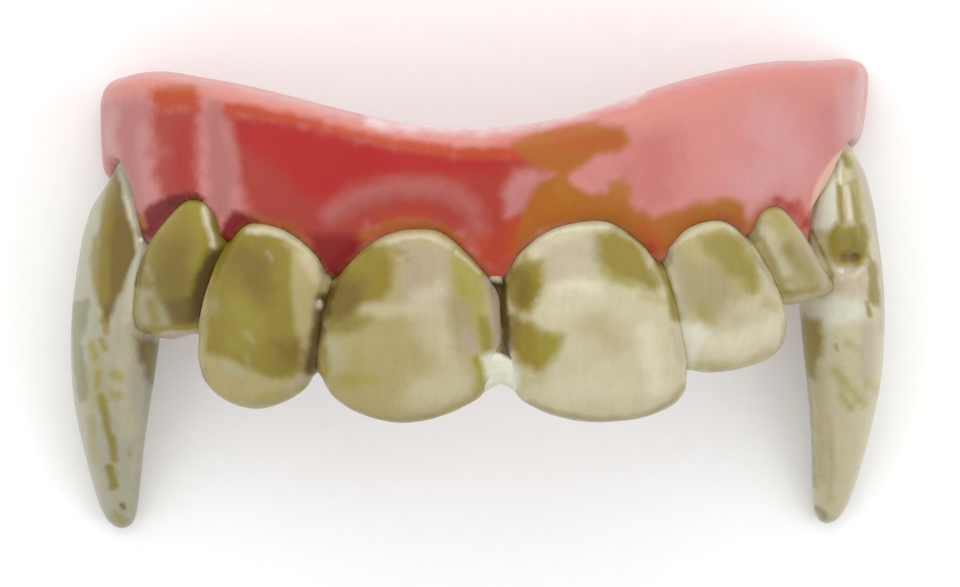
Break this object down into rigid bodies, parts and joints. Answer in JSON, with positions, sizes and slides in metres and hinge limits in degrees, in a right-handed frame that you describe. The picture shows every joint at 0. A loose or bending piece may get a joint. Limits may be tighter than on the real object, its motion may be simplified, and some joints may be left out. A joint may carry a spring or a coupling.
{
  "type": "vampire fang denture",
  "caption": "Costume upper denture: a horseshoe gum band that carries stained front teeth and a long curved fang at each end, open at the back for the wearer's own teeth.",
  "frame": {"origin": "middle of the footprint on the table, with the denture lying on its back", "axes": "+Z out of the front of the teeth, +Y from the tooth edges to the gum's rim, +X to the right-hand side as seen from the front"},
  "size_m": [0.0528, 0.0336, 0.0201],
  "materials": {
    "gum_acrylic": "glossy varnish over painted cast acrylic",
    "tooth_acrylic": "glossy varnish over stained cast acrylic",
    "fang_acrylic": "glossy varnish over stained cast acrylic"
  },
  "bodies": {
    "root": {"gum_base": "gum_acrylic", "central_incisor_left": "tooth_acrylic", "central_incisor_right": "tooth_acrylic", "lateral_incisor_left": "tooth_acrylic", "lateral_incisor_right": "tooth_acrylic", "side_tooth_left": "tooth_acrylic", "side_tooth_right": "tooth_acrylic", "fang_left": "fang_acrylic", "fang_right": "fang_acrylic"}
  },
  "joints": []
}
